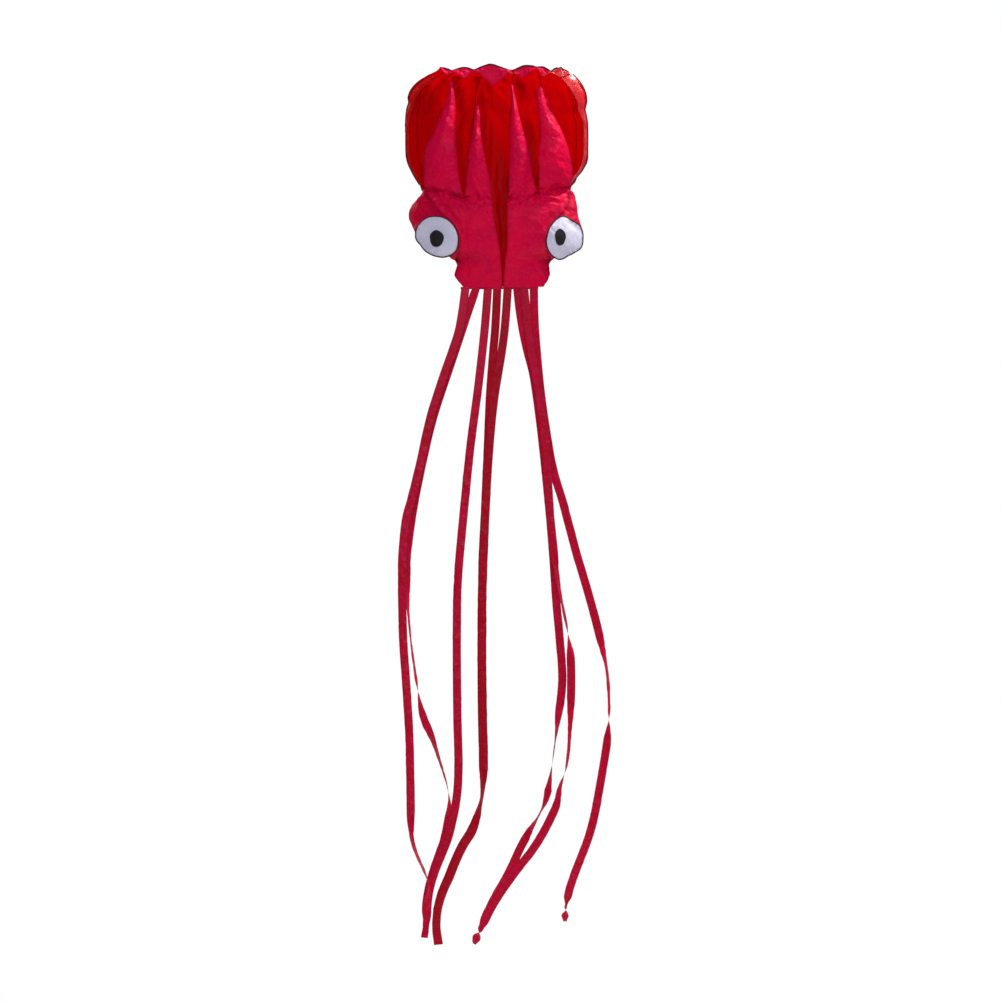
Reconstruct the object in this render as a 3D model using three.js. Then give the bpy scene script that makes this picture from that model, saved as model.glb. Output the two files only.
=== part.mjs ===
// Soft octopus kite as it flies: an open-fronted head of sewn cloth with two eye pods and eight ribbon
// tails. Millimetres, +Z up. The flyer stands towards -Y and the canopy billows towards +Y.
// The origin is the middle of the row of bridle tabs, where the flying lines hold the kite.
import * as THREE from "three";

const CLOTH = 0.4; // thickness given to every cloth panel
const SEAM = 2; // clearance kept on each side of a seam
const HEM_Z = -645; // lower edge of the head
const TOP_Z = 318; // mean height of the leading edge
const SEAM_STATIONS = [-1, -0.68, -0.352, -0.16, 0.101, 0.347, 0.68, 1]; // canopy seams, rim to rim
const RIB_SEAMS = [2, 3, 4, 5]; // the canopy seams that the four ribs run to
const TOP_CROWDING = 1.35; // above 1, the canopy's rows lie closer together near the leading edge
const SCALLOP = 14; // how far a canopy panel billows past its seams
const BILLOW_END = 1.15; // above 1, the billow dies out before the hem
const BACK_FULLNESS = 0.85; // below 1, the head's section is squarer than an ellipse
const EDGE_FADE = 6; // how quickly the leading edge's peaks and notches fade down the canopy
const FINGER_RIDGE = 12; // how far the middle of a finger stands in front of its edges
const FINGER_TOP = 250; // height of the longest finger's tip
const LIP = { y: -44.5, flare: 12, minDrop: 6, setback: 2, ends: 3 };
const RIM = { top: 288, bottom: -196, lift: 2.4, turn: 6 }; // where the mouth's side hems run
const RIM_WIDTH = 18; // turned-in hem along the sides of the mouth
const CREASE_LEFT = [-224, -263, -268]; // where the left fingers end: outer edge, notch, inner edge
const CREASE_RIGHT = [-262, -240, -209];
const NOTCH_LEFT = 0.54; // the notch's place across each face panel, as a share from its left edge
const NOTCH_RIGHT = 0.51;
const POD_TOP = -222;
const POD_BOTTOM = -526;
const EYE_Z = -433;
const EYE_RADIUS = 94;
const PUPIL_RADIUS = 35;
const PUPIL_LIFT = 2; // how far a pupil's cloth stands clear of the eye's
const EYE_CURVE = 260; // radius of an eye dish's curvature
const TAB = { width: 8, depth: 15, height: 18, web: 2.5, gap: 2.5, corner: 5, innerCorner: 4 };
const TAPE = { left: -160, right: 182, thick: 1.5, top: -646.5, height: 10 };
const RIBBON = 37; // width of a tail
const TAIL_TOP = -652;
const JOINT_Z = -1760; // where each tail's lower length begins
const LAP = 10; // how far the two lengths of a tail overlap past that line
const LAP_STEP = 1.4; // distance between the two lengths where they overlap
const FAN = 0.025; // how fast the tails spread in depth, for one layer, with their drop
const ROOT_DEPTH = 2; // distance of a tail's root from the middle of the tape

const { lerp, clamp } = THREE.MathUtils;

// A smooth curve through [height, value] pairs that are listed from the top down.
function profile(pairs) {
  const last = pairs.length - 1;
  const slopes = pairs.map((_, i) => {
    const above = pairs[Math.max(i - 1, 0)];
    const below = pairs[Math.min(i + 1, last)];
    return (below[1] - above[1]) / (below[0] - above[0]);
  });
  return (height) => {
    let i = 0;
    while (i < last - 1 && height < pairs[i + 1][0]) i += 1;
    const [z0, v0] = pairs[i];
    const [z1, v1] = pairs[i + 1];
    const span = z1 - z0;
    const t = clamp((height - z0) / span, 0, 1);
    const rise = t * t * (3 - 2 * t);
    const leaving = t * (1 - t) * (1 - t) * span * slopes[i];
    const arriving = t * t * (t - 1) * span * slopes[i + 1];
    return v0 + (v1 - v0) * rise + leaving + arriving;
  };
}

// A closed solid: the given sheet of triangles, thickened by half of CLOTH on each side.
function slab(points, triangles) {
  const sheet = new THREE.BufferGeometry().setFromPoints(points);
  sheet.setIndex(triangles.flat());
  sheet.computeVertexNormals();
  const normals = sheet.getAttribute("normal");
  const shifted = (amount) =>
    points.map((p, i) => new THREE.Vector3().fromBufferAttribute(normals, i).multiplyScalar(amount).add(p));
  const count = points.length;
  const faces = triangles.map((t) => [...t]);
  triangles.forEach(([a, b, c]) => faces.push([c + count, b + count, a + count]));
  const edges = new Map();
  triangles.forEach(([a, b, c]) =>
    [[a, b], [b, c], [c, a]].forEach(([from, to]) => {
      if (edges.has(`${to},${from}`)) edges.delete(`${to},${from}`);
      else edges.set(`${from},${to}`, [from, to]);
    }),
  );
  edges.forEach(([a, b]) => faces.push([b, a, a + count], [b, a + count, b + count]));
  const solid = new THREE.BufferGeometry();
  solid.setFromPoints([...shifted(CLOTH / 2), ...shifted(-CLOTH / 2)]);
  solid.setIndex(faces.flat());
  return solid;
}

// A slab over a grid: place(u, v) gives a point for u across and v down, both from 0 to 1.
function panel(place, across, down) {
  const points = [];
  const triangles = [];
  for (let j = 0; j <= down; j += 1) {
    for (let i = 0; i <= across; i += 1) points.push(place(i / across, j / down));
  }
  for (let j = 0; j < down; j += 1) {
    for (let i = 0; i < across; i += 1) {
      const a = j * (across + 1) + i;
      const below = a + across + 1;
      triangles.push([a, below, a + 1], [a + 1, below, below + 1]);
    }
  }
  return slab(points, triangles);
}

// A slab over a disc: place(r, angle) gives a point for r from 0 to 1.
function roundPanel(place, rings, spokes) {
  const points = [place(0, 0)];
  const triangles = [];
  for (let ring = 1; ring <= rings; ring += 1) {
    for (let k = 0; k < spokes; k += 1) points.push(place(ring / rings, (k / spokes) * 2 * Math.PI));
  }
  const at = (ring, k) => (ring === 0 ? 0 : 1 + (ring - 1) * spokes + (k % spokes));
  for (let ring = 0; ring < rings; ring += 1) {
    for (let k = 0; k < spokes; k += 1) {
      triangles.push([at(ring, k), at(ring + 1, k), at(ring + 1, k + 1)]);
      if (ring > 0) triangles.push([at(ring, k), at(ring + 1, k + 1), at(ring, k + 1)]);
    }
  }
  return slab(points, triangles);
}

const cloth = (colour, roughness) =>
  new THREE.MeshStandardMaterial({ color: colour, roughness, metalness: 0, side: THREE.DoubleSide });
const canopyRed = cloth(0xc40008, 0.45);
const frontPink = cloth(0xbe0038, 0.55);
const eyeWhite = cloth(0xd2d4e2, 0.6);
const eyeBlack = cloth(0x1e1c20, 0.6);
const tailCrimson = cloth(0xa8002c, 0.5);
const tapeRed = cloth(0xa0001c, 0.7);

const kite = new THREE.Group();
function add(name, geometry, material) {
  const mesh = new THREE.Mesh(geometry, material);
  mesh.name = name;
  kite.add(mesh);
  return mesh;
}

// ---- The head's outline: the canopy's rims at the mouth, then its side seams down to the hem.
const rimLeft = profile([
  [318, -249], [299, -270], [277, -315], [255, -345], [220, -378], [185, -390], [156, -387], [130, -398],
  [60, -400], [-44, -400], [-92, -395], [-141, -374], [-194, -343], [-224, -318], [-300, -290],
  [-380, -262], [-431, -245], [-480, -215], [-528, -165], [-568, -183], [-616, -180], [-645, -150],
]);
const rimRight = profile([
  [318, 318], [300, 326], [283, 338], [265, 356], [234, 378], [195, 392], [156, 393], [125, 384],
  [102, 394], [60, 398], [-44, 398], [-101, 390], [-141, 370], [-187, 330], [-212, 320],
  [-300, 308], [-380, 300], [-431, 290], [-480, 262], [-528, 222], [-578, 237], [-616, 218],
  [-645, 205],
]);
const rimDepth = profile([
  [318, -42], [200, -32], [0, -30], [-150, -25], [-200, -8], [-224, 20], [-300, 90], [-380, 105],
  [-431, 95], [-470, 75], [-500, 45], [-528, 4], [-570, 5], [-616, 5], [-645, 5],
]);
const backDepth = profile([
  [318, -40], [310, 5], [295, 45], [270, 85], [220, 130], [150, 168], [60, 195], [-40, 206], [-140, 202],
  [-240, 188], [-340, 164], [-431, 138], [-500, 104], [-560, 66], [-610, 32], [-645, 7],
]);
// Notches of the leading edge, each with the rise to the peak and the drop of the lip that follow it.
const LIPS = [
  { x: -249, z: 316, peak: 5, drop: 30 },
  { x: -194, z: 306, peak: 15, drop: 50 },
  { x: -99, z: 309, peak: 24, drop: 84 },
  { x: 66, z: 300, peak: 22, drop: 52 },
  { x: 172, z: 316, peak: 8, drop: 36 },
  { x: 238, z: 306, peak: 16, drop: 40 },
  { x: 318, z: 296, peak: 0, drop: 0 },
];
// The leading edge at x: its height, and how far the lip there hangs below it.
function leadingEdge(x) {
  let i = 0;
  while (i < LIPS.length - 2 && x > LIPS[i + 1].x) i += 1;
  const t = clamp((x - LIPS[i].x) / (LIPS[i + 1].x - LIPS[i].x), 0, 1);
  const tent = 1 - Math.abs(2 * t - 1);
  return {
    height: lerp(LIPS[i].z, LIPS[i + 1].z, t) + LIPS[i].peak * Math.sqrt(tent),
    drop: LIP.minDrop + LIPS[i].drop * tent,
  };
}

// A point of the canopy: station runs from -1 at the left rim, round the back, to 1 at the right rim.
function canopyPoint(station, down) {
  const height = lerp(TOP_Z, HEM_Z, down ** TOP_CROWDING);
  const left = rimLeft(height);
  const right = rimRight(height);
  const x = (left + right) / 2 + ((right - left) / 2) * Math.sin((station * Math.PI) / 2);
  const index = SEAM_STATIONS.findIndex((edge, i) => i > 0 && station <= edge + 1e-9);
  const share = (station - SEAM_STATIONS[index - 1]) / (SEAM_STATIONS[index] - SEAM_STATIONS[index - 1]);
  const billow = SCALLOP * 4 * share * (1 - share) * Math.sin(Math.PI * Math.min(1, down * BILLOW_END));
  const round = Math.max(0, Math.cos((station * Math.PI) / 2)) ** BACK_FULLNESS;
  const fullDepth = backDepth(height) - rimDepth(height);
  const y = rimDepth(height) + fullDepth * round + Math.max(billow, 0) * round;
  const lift = (leadingEdge(x).height - TOP_Z) * (1 - down) ** EDGE_FADE;
  return new THREE.Vector3(x, y, height + lift);
}

const CANOPY_NAMES = [
  "canopy_left_side", "canopy_left_outer", "canopy_left_inner", "canopy_centre",
  "canopy_right_inner", "canopy_right_outer", "canopy_right_side",
];
const CANOPY_SEAM = 0.0035; // half of the gap at a canopy seam, in stations
CANOPY_NAMES.forEach((name, i) => {
  const from = SEAM_STATIONS[i] + CANOPY_SEAM;
  const to = SEAM_STATIONS[i + 1] - CANOPY_SEAM;
  const geometry = panel((u, v) => canopyPoint(lerp(to, from, u), v), 4, 26);
  add(name, geometry, canopyRed);
});

// ---- The turned-in hem round the mouth: lips along the leading edge, and a narrow rim on each side.
function lipPoint(across, down) {
  const x = lerp(LIPS[0].x + LIP.ends, LIPS[LIPS.length - 1].x - LIP.ends, across);
  const edge = leadingEdge(x);
  const y = LIP.y - LIP.flare * Math.sin((down * Math.PI) / 2);
  return new THREE.Vector3(x, y, edge.height - LIP.setback - edge.drop * down);
}
add("leading_edge_lip", panel(lipPoint, 36, 2), frontPink);
const rims = [
  { name: "mouth_rim_left", rim: rimLeft, inward: 1 },
  { name: "mouth_rim_right", rim: rimRight, inward: -1 },
];
rims.forEach(({ name, rim, inward }) => {
  const place = (u, v) => {
    const z = lerp(RIM.top, RIM.bottom, v);
    const across = inward > 0 ? u : 1 - u;
    const y = rimDepth(z) - RIM.lift - RIM.turn * across;
    return new THREE.Vector3(rim(z) + inward * RIM_WIDTH * across, y, z);
  };
  add(name, panel(place, 2, 16), frontPink);
});

// ---- The front skin: four fingers that widen downwards and merge into two face panels.
const frontLeft = profile([
  [250, -206], [178, -220], [77, -260], [15, -286], [-40, -314], [-128, -321], [-190, -322], [-224, -316],
  [-300, -262], [-380, -187], [-431, -168], [-500, -161], [-528, -163], [-568, -181], [-616, -178],
  [-645, -150],
]);
const frontRight = profile([
  [230, 197], [211, 206], [114, 244], [57, 275], [-13, 305], [-88, 325], [-165, 332], [-209, 318],
  [-300, 300], [-380, 240], [-431, 222], [-500, 218], [-528, 220], [-578, 235], [-616, 216], [-645, 205],
]);
const frontEdgeDepth = profile([
  [250, -62], [178, -72], [77, -80], [-44, -78], [-128, -62], [-200, -38], [-224, -30], [-300, -88],
  [-380, -118], [-431, -122], [-470, -105], [-500, -60], [-528, -6], [-568, -5], [-616, -5], [-645, -5],
]);
const frontMiddleDepth = profile([
  [300, -52], [250, -72], [150, -100], [0, -122], [-150, -128], [-250, -118], [-350, -124], [-431, -118],
  [-500, -95], [-560, -62], [-610, -30], [-645, -6],
]);
const gapLeft = profile([
  [145, -80], [114, -76], [44, -73], [-44, -59], [-128, -42], [-198, -26], [-268, -23], [-381, -9],
  [-451, 4], [-515, 14], [-645, 20],
]);
const gapRight = profile([
  [240, 60], [194, 62], [-44, 57], [-211, 51], [-326, 48], [-466, 47], [-515, 40], [-645, 30],
]);
const fingers = [
  {
    top: FINGER_TOP,
    left: frontLeft,
    right: profile([[250, -197], [172, -184], [70, -183], [-44, -180], [-156, -167], [-262, -148]]),
    ends: [CREASE_LEFT[0], CREASE_LEFT[1]],
  },
  {
    top: 145,
    left: profile([[145, -94], [44, -104], [-44, -121], [-128, -129], [-211, -138], [-262, -142]]),
    right: gapLeft,
    ends: [CREASE_LEFT[1], CREASE_LEFT[2]],
  },
  {
    top: 240,
    left: gapRight,
    right: profile([[240, 69], [156, 87], [57, 109], [-44, 139], [-150, 154], [-240, 179]]),
    ends: [CREASE_RIGHT[0], CREASE_RIGHT[1]],
  },
  {
    top: 230,
    left: profile([[230, 181], [170, 175], [101, 185], [15, 192], [-44, 184], [-156, 184], [-240, 185]]),
    right: frontRight,
    ends: [CREASE_RIGHT[1], CREASE_RIGHT[2]],
  },
];
function frontDepth(x, z) {
  const middle = (frontLeft(z) + frontRight(z)) / 2;
  const half = (frontRight(z) - frontLeft(z)) / 2;
  const share = Math.min(1, Math.abs(x - middle) / half);
  return lerp(frontMiddleDepth(z), frontEdgeDepth(z), share * share);
}
function fingerPoint(finger, across, down) {
  const z = lerp(finger.top, lerp(finger.ends[0], finger.ends[1], across) + SEAM, down);
  const x = lerp(finger.left(z), finger.right(z), across);
  const ridge = FINGER_RIDGE * 4 * across * (1 - across) * Math.sin(Math.PI * clamp(down, 0, 1));
  return new THREE.Vector3(x, frontDepth(x, z) - ridge, z);
}
fingers.forEach((finger, k) => {
  add(`front_finger_${k + 1}`, panel((u, v) => fingerPoint(finger, u, v), 4, 12), frontPink);
});

// A face panel, from the crease under two fingers to the hem. Its crease dips at the notch.
function facePoint(crease, left, right, notch, across, down) {
  const before = clamp(across / notch, 0, 1);
  const after = clamp((across - notch) / (1 - notch), 0, 1);
  const top = crease[0] + (crease[1] - crease[0]) * before + (crease[2] - crease[1]) * after;
  const z = lerp(top - SEAM, HEM_Z, down);
  const x = lerp(left(z), right(z), across);
  return new THREE.Vector3(x, frontDepth(x, z), z);
}
add(
  "face_left",
  panel((u, v) => facePoint(CREASE_LEFT, frontLeft, gapLeft, NOTCH_LEFT, u, v), 8, 10),
  frontPink,
);
add(
  "face_right",
  panel((u, v) => facePoint(CREASE_RIGHT, gapRight, frontRight, NOTCH_RIGHT, u, v), 8, 10),
  frontPink,
);

// ---- Eye pods: each bulges from the face panel's outer seam round to the canopy's side seam.
const podLeft = profile([
  [-222, -326], [-257, -345], [-288, -370], [-321, -383], [-356, -380], [-387, -368], [-431, -358],
  [-464, -342], [-495, -305], [-515, -250], [-526, -190],
]);
const podRight = profile([
  [-222, 328], [-240, 339], [-297, 352], [-352, 361], [-400, 372], [-431, 377], [-470, 373], [-495, 350],
  [-512, 305], [-526, 246],
]);
const POD_SEAM = 3.5; // clearance of a pod's front edge from the face panel it is sewn to
const POD_BACK_GAP = 13; // the same at its back edge, where the canopy's side seam turns sharply
const POD_SWELL = { front: 38, back: 20, fullAt: 190 }; // swelling of a pod that stands out by fullAt
// The pod's section at a height, as a cubic that starts at the face seam and ends at the side seam.
function podSection(side, z) {
  const { front, back, reach, outward } = side;
  const start = new THREE.Vector3(front(z) + outward * POD_SEAM, frontEdgeDepth(z), z);
  const end = new THREE.Vector3(back(z) + outward * POD_SEAM, rimDepth(z) - POD_BACK_GAP, z);
  const pull = (reach(z) - (start.x + end.x) / 8) / 0.75;
  const swell = clamp(Math.abs(reach(z) - start.x) / POD_SWELL.fullAt, 0, 1);
  const near = new THREE.Vector3(pull, start.y - POD_SWELL.front * swell, z);
  const far = new THREE.Vector3(pull, end.y - POD_SWELL.back * swell, z);
  return new THREE.CubicBezierCurve3(start, near, far, end);
}
// A dish of cloth round an eye's middle, that faces out by the eye's turn and curves back at its rim.
function eyeDisc(eye, radius, lift) {
  const { middle, turn, squeeze, outward } = eye;
  const normal = new THREE.Vector3(outward * Math.sin(turn), -Math.cos(turn), 0);
  const across = new THREE.Vector3(Math.cos(turn), outward * Math.sin(turn), 0);
  return (r, angle) => {
    const sideways = radius * r * Math.cos(angle);
    const upward = radius * r * Math.sin(angle);
    const back = (sideways * sideways + upward * upward) / (2 * EYE_CURVE);
    const point = middle.clone().addScaledVector(across, sideways * squeeze);
    return point.addScaledVector(normal, lift - back).add(new THREE.Vector3(0, 0, upward));
  };
}
const eyes = [
  { name: "left", front: frontLeft, back: rimLeft, reach: podLeft, outward: -1, squeeze: 1,
    turn: 0.38, middle: new THREE.Vector3(-262, -147, EYE_Z) },
  { name: "right", front: frontRight, back: rimRight, reach: podRight, outward: 1, squeeze: 0.9,
    turn: 0.5, middle: new THREE.Vector3(297, -142, EYE_Z) },
];
eyes.forEach((eye) => {
  const skin = (u, v) =>
    podSection(eye, lerp(POD_TOP, POD_BOTTOM, v)).getPoint(eye.outward < 0 ? 1 - u : u);
  add(`eye_pod_${eye.name}`, panel(skin, 8, 12), frontPink);
  add(`eye_white_${eye.name}`, roundPanel(eyeDisc(eye, EYE_RADIUS, 0), 3, 20), eyeWhite);
  add(`eye_pupil_${eye.name}`, roundPanel(eyeDisc(eye, PUPIL_RADIUS, PUPIL_LIFT), 2, 16), eyeBlack);
});

// ---- Ribs: webs from the back of each finger to a canopy seam; they hold the head's section.
const RIB_FRONT = [
  profile([[290, -198], [250, -201], [77, -222], [-44, -248], [-150, -244], [-235, -235]]),
  profile([[290, -98], [145, -88], [44, -88], [-44, -90], [-128, -86], [-235, -82]]),
  profile([[290, 66], [240, 65], [57, 84], [-44, 98], [-150, 103], [-235, 114]]),
  profile([[290, 205], [230, 189], [101, 214], [15, 244], [-88, 254], [-200, 256]]),
];
const RIB_TOP = 280;
const RIB_BOTTOM = [-220, -225, -215, -195];
const RIB_CLEARANCE = 5;
const TOP_CLEARANCE = 20; // more room behind a rib's upper end, where the canopy turns forward
const RIB_NARROWEST = 4; // least depth of a rib
const SHOULDER = { from: 200, to: 280, y: -30 }; // the ribs' front edges step back over these heights
RIB_SEAMS.forEach((seam, k) => {
  const station = SEAM_STATIONS[seam];
  const place = (u, v) => {
    const z = lerp(RIB_TOP, RIB_BOTTOM[k], v);
    const down = clamp((TOP_Z - z) / (TOP_Z - HEM_Z), 0, 1) ** (1 / TOP_CROWDING);
    const back = canopyPoint(station, down);
    const frontX = RIB_FRONT[k](z);
    const nearTop = clamp((z - SHOULDER.from) / (SHOULDER.to - SHOULDER.from), 0, 1);
    const behindFinger = frontDepth(frontX, Math.min(z, FINGER_TOP));
    const frontY = lerp(behindFinger, SHOULDER.y, nearTop) + RIB_CLEARANCE;
    const backY = Math.max(frontY + RIB_NARROWEST, back.y - RIB_CLEARANCE - TOP_CLEARANCE * nearTop);
    return new THREE.Vector3(lerp(frontX, back.x, u), lerp(frontY, backY, u), z);
  };
  add(`rib_${k + 1}`, panel(place, 4, 12), canopyRed);
});

// ---- Bridle tabs: one webbing loop on the middle line of each finger, level with the origin.
fingers.forEach((finger, k) => {
  const loop = new THREE.Shape();
  loop.moveTo(0, -TAB.height / 2);
  loop.lineTo(TAB.depth - TAB.corner, -TAB.height / 2);
  loop.lineTo(TAB.depth, TAB.corner - TAB.height / 2);
  loop.lineTo(TAB.depth, TAB.height / 2 - TAB.corner);
  loop.lineTo(TAB.depth - TAB.corner, TAB.height / 2);
  loop.lineTo(0, TAB.height / 2);
  loop.closePath();
  const eye = new THREE.Path();
  const inside = TAB.height / 2 - TAB.web;
  const end = TAB.depth - TAB.web;
  eye.moveTo(TAB.web, -inside);
  eye.lineTo(TAB.web, inside);
  eye.lineTo(end - TAB.innerCorner, inside);
  eye.lineTo(end, inside - TAB.innerCorner);
  eye.lineTo(end, TAB.innerCorner - inside);
  eye.lineTo(end - TAB.innerCorner, -inside);
  eye.closePath();
  loop.holes.push(eye);
  const geometry = new THREE.ExtrudeGeometry(loop, { depth: TAB.width, bevelEnabled: false });
  geometry.rotateX(Math.PI / 2); // the loop's outline now lies in the XZ plane
  geometry.rotateZ(-Math.PI / 2); // and then in the YZ plane, standing out towards -Y
  geometry.computeBoundingBox();
  const middle = geometry.boundingBox.getCenter(new THREE.Vector3());
  const x = (finger.left(0) + finger.right(0)) / 2;
  const y = frontDepth(x, 0) - FINGER_RIDGE - TAB.gap;
  geometry.translate(x - middle.x, y - geometry.boundingBox.max.y, -middle.z);
  add(`bridle_tab_${k + 1}`, geometry, tapeRed);
});

// ---- The tail tape, which hangs from the hem and carries the roots of the tails.
const tape = add(
  "tail_tape",
  new THREE.BoxGeometry(TAPE.right - TAPE.left, TAPE.thick, TAPE.height),
  tapeRed,
);
tape.position.set((TAPE.left + TAPE.right) / 2, 0, TAPE.top - TAPE.height / 2);

// ---- Tails: the route of each ribbon's middle, as [x, z] from its root to its tip.
const TAILS = [
  {
    layer: -3.5,
    route: [
      [-139, -652], [-167, -836], [-229, -1021], [-293, -1223], [-338, -1426], [-377, -1584],
      [-404, -1694], [-414, -1804], [-417, -1914], [-416, -2024], [-411, -2204], [-398, -2385],
      [-385, -2605], [-378, -2873], [-370, -3080], [-321, -3203], [-297, -3262], [-308, -3335],
      [-307, -3406], [-317, -3498],
    ],
  },
  {
    layer: 0.5,
    route: [
      [-92, -652], [-119, -730], [-154, -836], [-216, -1021], [-282, -1223], [-330, -1426],
      [-362, -1584], [-380, -1694], [-397, -1824], [-397, -1960], [-391, -2060], [-374, -2244],
      [-348, -2424], [-326, -2534], [-286, -2627], [-255, -2724], [-220, -2838], [-209, -2930],
      [-229, -3062], [-277, -3208], [-308, -3335], [-317, -3498],
    ],
  },
  {
    layer: -2.5,
    route: [
      [-40, -652], [-53, -818], [-81, -1074], [-116, -1342], [-143, -1606], [-173, -1949],
      [-176, -2130], [-176, -2314], [-173, -2570], [-169, -2715], [-176, -2882], [-214, -3062],
      [-271, -3208], [-302, -3320], [-305, -3406], [-317, -3498],
    ],
  },
  {
    layer: 1.5,
    route: [
      [1, -652], [-7, -818], [-18, -950], [-31, -1126], [-40, -1342], [-54, -1654], [-62, -1804],
      [-67, -2024], [-68, -2314], [-66, -2534], [-62, -2750], [-69, -2895], [-110, -3032],
      [-161, -3120], [-220, -3260], [-253, -3345], [-268, -3450], [-257, -3545],
    ],
  },
  {
    layer: -1.5,
    route: [
      [47, -652], [35, -818], [20, -937], [-11, -1126], [-33, -1342], [-49, -1600], [-58, -1804],
      [-64, -2024], [-65, -2314], [-62, -2534], [-58, -2750], [-66, -2895], [-106, -3032],
      [-158, -3120], [-217, -3260], [-252, -3345], [-266, -3450], [-258, -3535],
    ],
  },
  {
    layer: 2.5,
    route: [
      [89, -652], [106, -792], [132, -920], [158, -1021], [185, -1201], [202, -1342], [231, -1628],
      [246, -1804], [261, -2024], [277, -2204], [288, -2376], [268, -2565], [252, -2684],
      [231, -2838], [209, -2930], [169, -3005], [117, -3093], [48, -3238], [-26, -3370],
      [-57, -3441], [-103, -3540],
    ],
  },
  {
    layer: -0.5,
    route: [
      [119, -652], [132, -780], [150, -920], [187, -1122], [214, -1342], [235, -1668],
      [255, -1848], [279, -2002], [310, -2160], [325, -2300], [326, -2400], [321, -2552],
      [306, -2750], [277, -2842], [259, -2930], [218, -3018], [167, -3106], [66, -3238],
      [-22, -3370], [-60, -3450], [-101, -3535],
    ],
  },
  {
    layer: 3.5,
    route: [
      [162, -652], [165, -792], [174, -920], [194, -1122], [227, -1342], [249, -1456],
      [288, -1584], [345, -1800], [379, -1914], [411, -2024], [458, -2204], [486, -2340],
      [496, -2526], [490, -2627], [453, -2860], [425, -3005], [394, -3106], [365, -3181],
      [328, -3282], [308, -3362], [301, -3450],
    ],
  },
];
TAILS.forEach(({ layer, route }, k) => {
  const front = k % 2 === 0 ? -1 : 1;
  const depth = (z) => front * ROOT_DEPTH + layer * FAN * (TAIL_TOP - z);
  const middle = new THREE.CatmullRomCurve3(
    route.map(([x, z]) => new THREE.Vector3(x, depth(z), z)),
    false,
    "centripetal",
  );
  // How far along the curve, from 0 to 1, it comes down to a height.
  const shareAt = (z) => {
    let low = 0;
    let high = 1;
    for (let i = 0; i < 30; i += 1) {
      const mid = (low + high) / 2;
      if (middle.getPointAt(mid).z > z) low = mid;
      else high = mid;
    }
    return (low + high) / 2;
  };
  const ribbon = (from, to, steps, step) =>
    panel(
      (u, v) => {
        const share = lerp(from, to, v);
        const along = middle.getTangentAt(share);
        const across = new THREE.Vector3(-along.z, 0, along.x).normalize();
        const point = middle.getPointAt(share).addScaledVector(across, (u - 0.5) * RIBBON);
        return point.add(new THREE.Vector3(0, step, 0));
      },
      1,
      steps,
    );
  add(`tail_${k + 1}_upper`, ribbon(0, shareAt(JOINT_Z - LAP), 12, 0), tailCrimson);
  const outward = Math.sign(layer) * LAP_STEP;
  add(`tail_${k + 1}_lower`, ribbon(shareAt(JOINT_Z + LAP), 1, 24, outward), tailCrimson);
});

export default kite;
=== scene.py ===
"""A soft octopus kite in flight: ribbed open-fronted cloth head, two eye pods and eight ribbon tails.
Every cloth panel is made on the surface of the CAD panel that it replaces."""
import math

import bpy
import numpy as np
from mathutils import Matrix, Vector, noise
from mathutils.bvhtree import BVHTree


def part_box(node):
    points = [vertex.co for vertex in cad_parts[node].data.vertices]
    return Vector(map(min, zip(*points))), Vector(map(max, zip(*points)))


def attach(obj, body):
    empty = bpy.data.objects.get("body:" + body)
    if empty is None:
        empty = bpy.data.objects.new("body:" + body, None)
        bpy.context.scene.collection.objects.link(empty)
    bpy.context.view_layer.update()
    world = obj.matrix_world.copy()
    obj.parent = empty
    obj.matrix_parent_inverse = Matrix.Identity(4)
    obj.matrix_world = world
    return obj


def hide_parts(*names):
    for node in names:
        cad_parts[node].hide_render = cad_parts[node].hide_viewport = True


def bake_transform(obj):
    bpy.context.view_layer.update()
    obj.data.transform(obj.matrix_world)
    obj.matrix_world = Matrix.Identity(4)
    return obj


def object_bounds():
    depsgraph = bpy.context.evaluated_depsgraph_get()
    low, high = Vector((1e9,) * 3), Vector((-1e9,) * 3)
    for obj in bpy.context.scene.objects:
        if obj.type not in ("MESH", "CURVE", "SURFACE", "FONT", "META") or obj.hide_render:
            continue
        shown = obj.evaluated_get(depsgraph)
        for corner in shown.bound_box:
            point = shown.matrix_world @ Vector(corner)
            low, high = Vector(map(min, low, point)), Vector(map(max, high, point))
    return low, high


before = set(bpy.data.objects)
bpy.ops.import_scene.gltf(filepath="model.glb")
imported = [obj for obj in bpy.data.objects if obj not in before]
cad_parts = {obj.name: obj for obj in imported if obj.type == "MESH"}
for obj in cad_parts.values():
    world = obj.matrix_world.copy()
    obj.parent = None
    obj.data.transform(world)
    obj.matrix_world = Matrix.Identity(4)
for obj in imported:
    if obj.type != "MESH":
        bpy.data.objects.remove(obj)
CAD_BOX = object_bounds()

HEAD = "head"
TAILS = range(1, 9)
CLOTH_THICKNESS = 0.0004  # thickness of the CAD cloth panels
SEAM_REACH = 0.0022  # how far a piece grows past its CAD panel to meet its neighbour
HEM_REACH = 0.0013  # the same at the lower hem, where the tape must still swing clear
HEM_CLEAR = 0.0032  # how far the face's hem stays in front of the tape's middle
HEM_DROP = 0.003  # and how far it is let down
TAPE_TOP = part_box("tail_tape")[1][2]
HEM_LEVEL = TAPE_TOP + 0.0012  # where the canopy's hem ends, just above the tape
CORNER_LEVEL = TAPE_TOP + 0.0008  # where the lower outer corners of the face end
HEM_BEHIND = 0.0036  # how far the canopy's hem is behind the tape, past the ribbons sewn to its back
HEM_SOFT = 0.012  # how far up from the hem that shaping reaches

# ---------------------------------------------------------------- camera, stage and light
VIEW_DISTANCE = 40.0
VIEW_WIDTH = 4.409  # metres across the square picture at the kite
VIEW_MIDDLE = (0.0176, -1.588)  # x and height of the middle of the view
SENSOR = 36.0
FLOOR_GAP = 0.7  # from the tips of the tails down to the floor


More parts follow.
